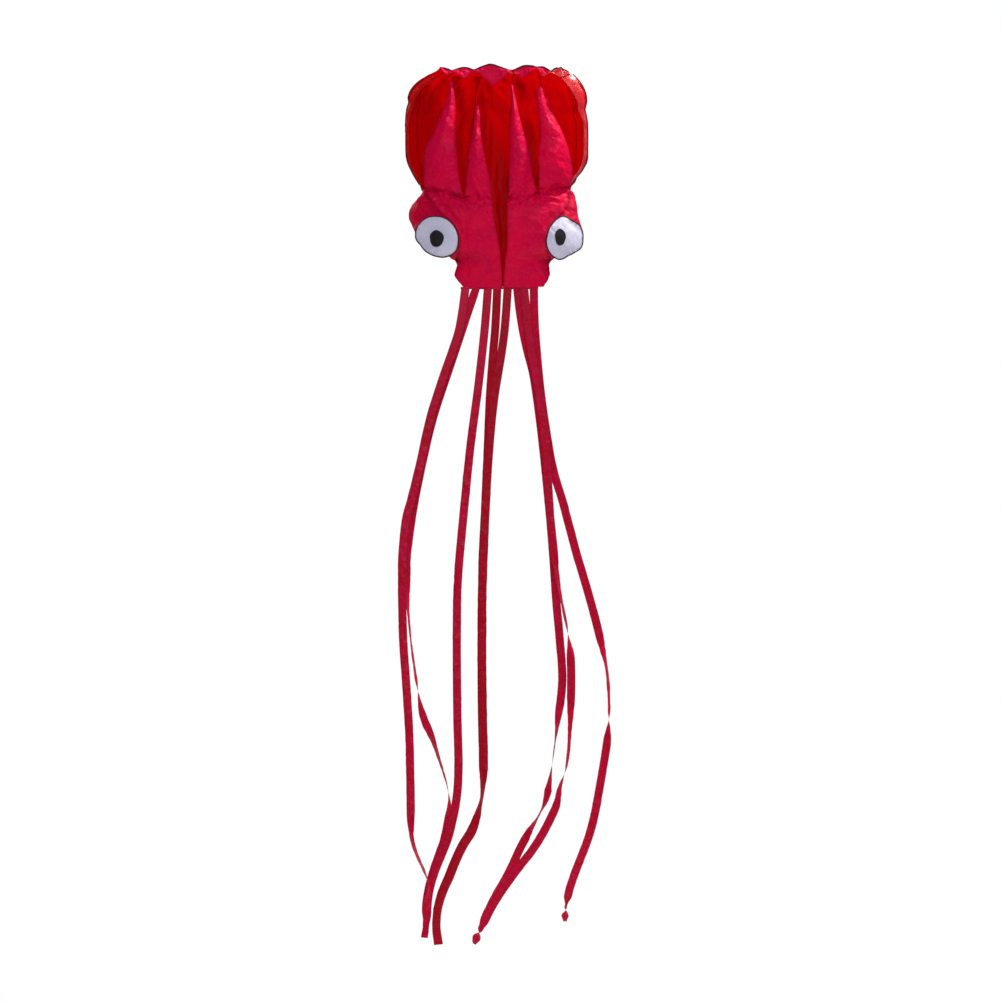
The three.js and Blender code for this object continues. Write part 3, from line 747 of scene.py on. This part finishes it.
def make_front():
    for name in [f"front_finger_{k}" for k in range(1, 5)] + ["face_left", "face_right"]:
        coarse = grid_of(name, to_front)
        finger = "finger" in name
        lap = FINGER_LAP if finger else HEM_REACH
        first_outside = starts_outside(coarse)
        inner = 0.0 if finger else SEAM_REACH
        reach = (0, inner) if first_outside else (inner, 0)
        grid = resample(coarse, 90, 200, (*reach, SEAM_REACH, lap))
        left, right, _, bottom = edge_distances(grid)
        heights = front_height(grid)
        if finger:
            billow = FINGER_BILLOW * (1 - np.exp(-np.minimum(left, right) / 0.035))
            heights += billow * smoothstep(lap, lap + 0.06, bottom)
        grid[..., 1] -= heights
        if finger:
            # the lap passes just behind the face
            grid[..., 1] += 0.0008 * smoothstep(lap + 0.001, lap - 0.003, bottom)
        else:
            outside = left if first_outside else right
            outer = grid[:, 0] if first_outside else grid[:, -1]
            side = name.split("_")[1]
            below_pod = smoothstep(NECK_HEIGHT + 0.03, NECK_HEIGHT, outer[:, 2])
            grid = join_edges(grid, MOUTH_EDGES[side], outer, outside, 0.03, below_pod)
            # the hem hangs just in front of the top of the tape
            hem = np.exp(-((bottom / 0.006) ** 2)) * smoothstep(0.015, 0.035, outside)
            grid[..., 1] -= hem * np.maximum(grid[..., 1] + HEM_CLEAR, 0)
            grid[..., 2] -= hem * HEM_DROP
            corner = np.exp(-((bottom / HEM_SOFT) ** 2)) * smoothstep(0.045, 0.02, outside)
            grid[..., 2] += (CORNER_LEVEL - grid[-1:, :, 2]) * corner
            grid[..., 0] += np.sign(outer[:, 0].mean()) * neck_push(grid[..., 2], outside)
            outer = (grid[:, 0] if first_outside else grid[:, -1])[::-1]
            FACE_EDGES[side] = (outer[:, 2], outer[:, 0], outer[:, 1])
        # only the sides are hemmed: the gathered join between fingers and faces is sewn from inside
        edge = np.stack([np.minimum(left, right), bottom], axis=2)
        piece = grid_piece(f"{name}_cloth", grid, FRONT, edge=edge)
        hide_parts(name)
        # the fingers are cut to their billow, which the plain CAD panel doesn't have
        declare_sheet(grid if finger else coarse)


# ---------------------------------------------------------------- the eyes
EYE_SIZE = 0.09  # mean radius of an eye
EYE_GRID = 90  # points across an eye
PUPIL_GRID = 40
# the rim of each eye, drawn in unevenly by its stitching: angle in degrees and radius in metres
# each pupil: x and z of its middle, half its width and half its height
EYES = {
    "left": {
        "centre": (-0.2618, -0.431),
        "rim": [
            (-176, 0.095), (-156, 0.080), (-114, 0.080), (-89, 0.085), (-72, 0.093), (-38, 0.103),
            (-12, 0.094), (17, 0.089), (42, 0.088), (70, 0.090), (94, 0.092), (112, 0.097), (154, 0.100),
        ],
        "pupil": (-0.2645, -0.437, 0.0295, 0.0352),
    },
    "right": {
        "centre": (0.297, -0.4356),
        "rim": [
            (-132, 0.093), (-104, 0.098), (-79, 0.0765), (-52, 0.075), (-29, 0.083), (0, 0.080),
            (40, 0.088), (70, 0.084), (94, 0.100), (130, 0.0825), (170, 0.077),
        ],
        "pupil": (0.2776, -0.4312, 0.0224, 0.0352),
    },
}


def rim_radius(side, angles):
    known = sorted(EYES[side]["rim"])
    at = np.array([a for a, _ in known], float)
    size = np.array([r for _, r in known])
    at = np.concatenate([at - 360, at, at + 360])
    size = np.tile(size, 3)
    degrees = (np.degrees(angles) + 180) % 360 - 180
    straight = np.interp(degrees, at, size)
    around = [np.interp(degrees + shift, at, size) for shift in (-6, -3, 3, 6)]
    return (2 * straight + sum(around)) / 6


class Dish:
    """The curved cloth disc of one eye: the depth of the CAD disc under any point in front of it."""

    def __init__(self, side):
        self.x, self.z = EYES[side]["centre"]
        points, triangles = layer_of(f"eye_white_{side}", to_front)
        used = points[np.unique(triangles)]
        self.fit = np.linalg.lstsq(self.terms(used[:, 0], used[:, 2]), used[:, 1], rcond=None)[0]

    def terms(self, x, z):
        u, v = (x - self.x) * 10, (z - self.z) * 10
        return np.stack([np.ones_like(u), u, v, u * u, u * v, v * v], axis=-1)

    def depth(self, x, z):
        return self.terms(x, z) @ self.fit


DISHES = {side: Dish(side) for side in ("left", "right")}


def eye_fold(x, z):
    """The soft diagonal fold across the upper outer part of the right eye."""
    along = (x - 0.338) * 0.83 - (z + 0.384) * 0.56
    off = (x - 0.338) * 0.56 + (z + 0.384) * 0.83
    return -0.006 * np.exp(-((off / 0.011) ** 2)) * np.exp(-((along / 0.035) ** 2))


def disc_grid(count):
    """Share of the radius and angle of each point of a square grid stretched into a disc."""
    line = np.linspace(-1, 1, count)
    u, v = np.meshgrid(line, -line)
    x = u * np.sqrt(1 - v * v / 2)
    z = v * np.sqrt(1 - u * u / 2)
    return np.hypot(x, z), np.arctan2(z, x)


def rim_of(grid):
    """The outer loop of a grid's points."""
    return np.concatenate([grid[0, :-1], grid[:-1, -1], grid[-1, :0:-1], grid[:0:-1, 0]])


def surface_of(grid):
    """A grid's surface, for finding the points of it that are near others."""
    return BVHTree.FromPolygons([tuple(p) for p in grid.reshape(-1, 3)], grid_faces(*grid.shape[:2]))


def make_eyes():
    for side in ("left", "right"):
        share, angle = disc_grid(EYE_GRID)
        dish = DISHES[side]
        radius = rim_radius(side, angle) * share
        x = dish.x + radius * np.cos(angle)
        z = dish.z + radius * np.sin(angle)
        points = np.stack([x, dish.depth(x, z), z], axis=2)
        puffed = 0.006 * (1 - share**2)
        drawn = 0.0012 * share**6 * np.sin(angle * 15 + 6 * fbm(points, 0.06, 41))
        soft = 0.0022 * fbm(points, 0.06, 43) + 0.6 * crinkle(points, 0.6)
        if side == "right":
            soft += eye_fold(x, z)
        points[..., 1] -= puffed + drawn + soft
        from_rim = rim_radius(side, angle) * (1 - share)
        edge = np.stack([from_rim, angle * EYE_SIZE], axis=2)
        piece = grid_piece(f"eye_white_{side}_cloth", points, EYE_WHITE, edge=edge)
        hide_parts(f"eye_white_{side}")
        declare_sheet(points)
        binding = rim_of(points) - np.array([0, 0.0006, 0])
        name = f"eye_white_{side}_binding"
        # the near-black cord round the eye is painted edge shade
        tube_piece(name, binding, EYE_BINDING_RADIUS, EDGE_SHADE_CORD, closed=True)

        px, pz, half_wide, half_tall = EYES[side]["pupil"]
        size, ring = disc_grid(PUPIL_GRID)
        wobble = 1 + 0.03 * np.sin(3 * ring + 1) + 0.02 * np.sin(5 * ring)
        x = px + half_wide * size * wobble * np.cos(ring)
        z = pz + half_tall * size * wobble * np.sin(ring)
        surface = surface_of(points)
        y = np.empty(x.shape)
        for index in np.ndindex(x.shape):
            hit = surface.ray_cast(Vector((x[index], -1.0, z[index])), Vector((0, 1, 0)))[0]
            y[index] = hit.y
        y -= 0.0012 + 0.0014 * (1 - size**2)
        disc = np.stack([x, y, z], axis=2)
        edge = np.stack([half_wide * (1 - size), ring * half_wide], axis=2)
        pupil = grid_piece(f"eye_pupil_{side}_cloth", disc, EYE_BLACK, edge=edge)
        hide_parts(f"eye_pupil_{side}")
        declare_sheet(disc)
        name = f"eye_pupil_{side}_stitching"
        tube_piece(name, rim_of(disc), STITCHING_RADIUS, EYE_BLACK, closed=True)


def make_pods():
    for side in ("left", "right"):
        name = f"eye_pod_{side}"
        coarse = grid_of(name, to_front)
        grid = resample(coarse, 110, 150, (0.004, 0.004, 0.004, 0.012))
        dish = DISHES[side]
        dx, dz = grid[..., 0] - dish.x, grid[..., 2] - dish.z
        angle = np.arctan2(dz, dx)
        rim = rim_radius(side, angle)
        off = np.hypot(dx, dz)
        # below the eye the pod hides behind it, and its inner edge stays sewn to the face
        from_face, to_back, _, _ = edge_distances(grid)
        if abs(grid[0, 0, 0]) > abs(grid[0, -1, 0]) and grid[0, 0, 1] > grid[0, -1, 1]:
            from_face = to_back
        low = smoothstep(0.05, -0.01, dz) * smoothstep(0.0, 0.05, from_face)
        kept = np.minimum(off, 0.95 * rim)
        off_new = off + (kept - off) * low
        scale = off_new / np.maximum(off, 1e-9)
        grid[..., 0] = dish.x + dx * scale
        grid[..., 2] = dish.z + dz * scale
        # the front of the pod comes forward to the rim of the eye, and passes behind the eye
        depth = dish.depth(grid[..., 0], grid[..., 2])
        front = smoothstep(0.01, -0.05, grid[..., 1] - depth - 0.06)
        inside = smoothstep(1.0, 0.93, off_new / rim)
        beside = smoothstep(rim + 0.045, rim, off_new) * (1 - inside)
        at_rim = depth + 0.0005
        behind = depth + 0.010
        target = np.where(inside > 0, at_rim + (behind - at_rim) * inside, at_rim)
        pull = np.maximum(inside, beside) * front
        grid[..., 1] += (target - grid[..., 1]) * pull
        grid = raise_cloth(grid, (crinkle(grid, 0.9) + 0.5 * pucker(grid)) * (1 - inside))
        left, right, _, _ = edge_distances(grid)
        middle = len(grid) // 2
        first_in_front = grid[middle, 0, 1] < grid[middle, -1, 1]
        front_edge, from_front = (grid[:, 0], left) if first_in_front else (grid[:, -1], right)
        back_edge, from_back = (grid[:, -1], right) if first_in_front else (grid[:, 0], left)
        whole = np.ones(len(grid))
        grid = join_edges(grid, FACE_EDGES[side], front_edge.copy(), from_front, 0.012, whole)
        grid = join_edges(grid, MOUTH_EDGES[side], back_edge.copy(), from_back, 0.02, whole)
        piece = grid_piece(f"{name}_cloth", grid, POD)
        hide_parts(name)
        declare_sheet(coarse)
        make_gusset(side, grid)


def make_gusset(side, pod):
    """The strip that joins the rim of the eye to its pod all the way round."""
    surface = surface_of(pod)
    dish = DISHES[side]
    angle = np.linspace(-math.pi, math.pi, 181)
    rim = rim_radius(side, angle) * 0.995
    x, z = dish.x + rim * np.cos(angle), dish.z + rim * np.sin(angle)
    front = np.stack([x, dish.depth(x, z), z], axis=1)
    inward = np.stack([-np.cos(angle), np.zeros(len(angle)), -np.sin(angle)], axis=1)
    behind = front + 0.012 * inward + np.array([0, 0.034, 0])
    back = np.array([surface.find_nearest(Vector(p))[0] for p in behind])
    share = np.linspace(0, 1, 12)[:, None, None]
    grid = front * (1 - share) + back * share
    gap = np.abs(back - front).max(axis=1)
    grid -= 0.003 * inward * np.sin(math.pi * share) * smoothstep(0.01, 0.03, gap)[:, None]
    grid = raise_cloth(grid, 0.5 * crinkle(grid, 0.4) * np.sin(math.pi * share[..., 0]))
    grid_piece(f"eye_pod_{side}_gusset", grid, POD)


def widen_rim(grid):
    """Broadens the side hem of the mouth towards the head's upper corners, where it turns outward."""
    outer = grid[:, :1] if starts_outside(grid) else grid[:, -1:]
    across = grid - outer
    broad = smoothstep(0.06, 0.24, outer[..., 2:3])
    growth = 1.7 if outer[..., 0].mean() > 0 else 0.7
    wider = outer + across * (1 + growth * broad)
    share = np.linalg.norm(across, axis=2, keepdims=True) / np.linalg.norm(across, axis=2).max()
    wider[..., 1:2] += broad * (0.014 - 0.026 * share)
    wider[..., 2:3] -= broad * 0.020 * share
    return wider


GLARE_FROM = 0.225  # x where the leading-edge lip takes the brighter copy of its cloth: painted sun glare


def make_trim():
    for name in ("leading_edge_lip", "mouth_rim_left", "mouth_rim_right"):
        coarse = grid_of(name, to_front)
        rim = "rim" in name
        if rim:
            grid = widen_rim(resample(coarse, 16, 200))
            left, right, _, _ = edge_distances(grid)
            rolled = 0.006 * (1 - ((left - right) / (left + right)) ** 2)
            crumple = crinkle(grid, 0.4) * smoothstep(0, 0.006, np.minimum(left, right))
            grid = raise_cloth(grid, rolled + crumple)
            outer = grid[:, 0] if starts_outside(grid) else grid[:, -1]
        else:
            grid = resample(coarse, 300, 14)
            _, _, top, _ = edge_distances(grid)
            grid = raise_cloth(grid, crinkle(grid, 1.6) * smoothstep(0, 0.01, top))
            grid = lift_edge(grid, top)
            outer = grid[0]
        # the side rims are the front's cloth: the left one wears the ribs' redder copy as painted shade,
        # the right one the brighter orange copy as painted sun glare
        cloth = {"mouth_rim_left": RIB, "mouth_rim_right": SUN_GLARE_CRIMSON}.get(name, FRONT)
        piece = grid_piece(f"{name}_cloth", grid, cloth)
        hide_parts(name)
        declare_sheet(grid if rim else coarse)
        if not rim:
            # the right end of the lip takes the rim's brighter, orange copy of the crimson: painted sun
            # glare
            piece.data.materials.append(SUN_GLARE_CRIMSON)
            for face in piece.data.polygons:
                face.material_index = int(face.center.x > GLARE_FROM)
        # the near-black cord along the edge is painted edge shade
        tube_piece(f"{name}_binding", outer, EDGE_BINDING_RADIUS, EDGE_SHADE_CORD)
    for k in range(1, 5):
        coarse = grid_of(f"rib_{k}", to_front)
        grid = resample(coarse, 30, 80)
        grid = raise_cloth(grid, crinkle(grid, 0.3))
        # the ribs wear the brighter red copy: painted glow
        piece = grid_piece(f"rib_{k}_cloth", grid, RIB)
        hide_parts(f"rib_{k}")
        declare_sheet(coarse)


def swept(x, y, z):
    """A band with the outline y, z, drawn out along x."""
    shape = (len(y), len(x))
    return np.stack([
        np.broadcast_to(x, shape),
        np.broadcast_to(y[:, None], shape),
        np.broadcast_to(z[:, None], shape),
    ], axis=2)


def make_tape_and_tabs():
    low, high = (np.array(c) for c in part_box("tail_tape"))
    x = np.linspace(low[0], high[0], 160)
    middle = (low[1] + high[1]) / 2
    half = (high[1] - low[1]) / 2
    around = np.linspace(0, 2 * math.pi, 25)
    high[2] += half  # the top is rounded about the line that the tape swings on
    tall = (high[2] - low[2]) / 2
    y = middle + half * np.cos(around)
    z = (low[2] + high[2]) / 2 + tall * np.clip(1.3 * np.sin(around), -1, 1)
    piece = grid_piece("tail_tape_webbing", swept(x, y, z), WEBBING, "tail_tape")
    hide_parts("tail_tape")
    for k in range(1, 5):
        low, high = (np.array(c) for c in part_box(f"bridle_tab_{k}"))
        width, length, tall = high - low
        centre = (low + high) / 2
        turn = np.linspace(-0.75 * math.pi, 0.75 * math.pi, 40)
        y = centre[1] - (length / 2 - 0.001) * np.cos(turn)
        z = centre[2] + (tall / 2 - 0.001) * np.sin(turn)
        across = np.linspace(-width / 2, width / 2, 9)
        grid = swept(centre[0] + across, y, z)
        piece = grid_piece(f"bridle_tab_{k}_loop", grid, WEBBING)
        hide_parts(f"bridle_tab_{k}")


RIBBON_HALF = 0.0185  # half of a ribbon's width
RIBBON_COLUMNS = 13
RIBBON_ROWS = 760
# where each ribbon turns over: height of the middle, length that hangs edge-on, length of each turn
TWISTS = {
    1: [(-3.15, 0.08, 0.18)],
    2: [(-2.24, 0.24, 0.22), (-2.79, 0.04, 0.24)],
    3: [],
    4: [],
    5: [],
    6: [(-2.69, 0.02, 0.20)],
    7: [(-2.04, 0.12, 0.20), (-2.69, 0.04, 0.26)],
    8: [(-2.42, 0.16, 0.16)],
}
# where a ribbon swings part of the way round and back: height of the middle and half of its length
SWINGS = {4: (-2.898, 0.15), 5: (-2.892, 0.15), 6: (-2.975, 0.11)}
SLACK = 0.30  # share of a ribbon's width that still shows where it turns over
NECKS = {6: 0.4, 7: 0.5, 8: 0.7}  # how much narrower a curled end is just above its curl
FLARED_ENDS = (1, 2, 3)


def ribbon_turn(k, z):
    """Angle of a tail's cloth about its own length at each height."""
    angle = 0.35 * np.array([noise.noise(Vector((k * 3.7, 0.0, h / 0.35))) for h in z])
    angle += 0.12 * np.array([noise.noise(Vector((k * 5.1, 4.0, h / 0.09))) for h in z])
    angle *= smoothstep(-0.66, -2.2, z)  # near the tape the ribbons lie flat and close together
    for count, (middle, hold, ramp) in enumerate(TWISTS[k]):
        way = 1 if (k + count) % 2 else -1
        top, low = middle + hold / 2, middle - hold / 2
        first = smoothstep(top + ramp, top, z)
        second = smoothstep(low, low - ramp, z)
        # the share of the width that shows goes from 1 to SLACK, then on to -1, the other face
        angle += way * np.arccos(np.clip(1 - (1 - SLACK) * first - (1 + SLACK) * second, -1, 1))
    if k in SWINGS:
        middle, half = SWINGS[k]
        angle += np.arccos(1 - (1 - SLACK) * smoothstep(half, 0, np.abs(z - middle)))
    return angle


def make_tails():
    across = np.linspace(-1, 1, RIBBON_COLUMNS)
    for k in TAILS:
        upper = grid_of(f"tail_{k}_upper", to_front)
        lower = grid_of(f"tail_{k}_lower", to_front)
        joint_z = (upper[-1, 0, 2] + upper[-1, 1, 2] + lower[0, 0, 2] + lower[0, 1, 2]) / 4
        rows = np.concatenate([upper[:-1], lower[1:]])
        fine = resample(rows, 1, RIBBON_ROWS)
        centre = fine.mean(axis=1)
        side = fine[:, 1] - fine[:, 0]
        side /= np.linalg.norm(side, axis=1, keepdims=True)
        along = np.gradient(centre, axis=0)
        along /= np.linalg.norm(along, axis=1, keepdims=True)
        normal = np.cross(along, side)
        length = np.concatenate([[0], np.linalg.norm(np.diff(centre, axis=0), axis=1).cumsum()])
        to_tip = length[-1] - length
        turn = ribbon_turn(k, centre[:, 2])
        wide = np.full(len(length), RIBBON_HALF)
        if k in NECKS:
            turn += 0.9 * math.pi * smoothstep(0.09, 0.02, to_tip)
            wide *= 1 - NECKS[k] * np.exp(-(((to_tip - 0.075) / 0.024) ** 2))
            wide *= 1 - 0.55 * smoothstep(0.03, 0.0, to_tip)
            curl = 0.012 * np.sin(to_tip / 0.014) * smoothstep(0.08, 0.03, to_tip)
            centre = centre + normal * curl[:, None]
        if k in FLARED_ENDS:
            turn += 0.8 * smoothstep(0.12, 0.0, to_tip)
            wide *= 1 - 0.30 * np.exp(-(((to_tip - 0.060) / 0.03) ** 2))
        flat = np.cos(turn)[:, None] * side + np.sin(turn)[:, None] * normal
        out = np.cos(turn)[:, None] * normal - np.sin(turn)[:, None] * side
        grid = centre[:, None] + flat[:, None] * (wide[:, None] * across)[..., None]
        # the sewn end is cut level with the tape
        grid[..., 2] += (centre[:, 2:] - grid[..., 2]) * smoothstep(0.03, 0.0, length)[:, None]
        waves = np.array([noise.noise(Vector((k * 2.3, 9.0, h / 0.22))) for h in centre[:, 2]])
        cup = 0.0030 * (waves + 0.6)
        # the crumple is less where a ribbon is edge-on, and near the tape, where the ribbons are close
        flat_on = (0.25 + 0.75 * np.cos(turn) ** 2) * (0.15 + 0.85 * smoothstep(-0.7, -1.6, centre[:, 2]))
        ripple = 0.0010 * np.sin(length / 0.0085 + 5 * fbm(centre, 0.12, 50 + k)) * flat_on
        rise = -(cup * flat_on)[:, None] * across**2 + ripple[:, None] * across**2 * np.sign(across)
        grid += out[:, None] * rise[..., None]
        grid += normals_of(grid) * (0.0048 * facets(grid, 0.030, 60 + k) * flat_on[:, None])[..., None]
        uvs = np.stack(np.meshgrid((across + 1) * RIBBON_HALF, length), axis=2).reshape(-1, 2)
        edge = np.stack(np.meshgrid((1 - np.abs(across)) * RIBBON_HALF, length), axis=2).reshape(-1, 2)
        # ribbons 4 and 5 wear the darker copy: painted shade
        cloth = TAIL_DEEP if k in (4, 5) else TAIL
        piece = mesh_piece(
            f"tail_{k}_ribbon", grid.reshape(-1, 3), grid_faces(*grid.shape[:2]), uvs, edge, cloth,
            None,
        )
        middle = rows.mean(axis=1)
        at = np.abs(middle[:, 2] - joint_z).argmin()
        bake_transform(piece)
        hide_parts(f"tail_{k}_upper", f"tail_{k}_lower")


make_camera()
make_stage()
make_canopy()
make_front()
make_eyes()
make_pods()
make_trim()
make_tape_and_tabs()
make_tails()
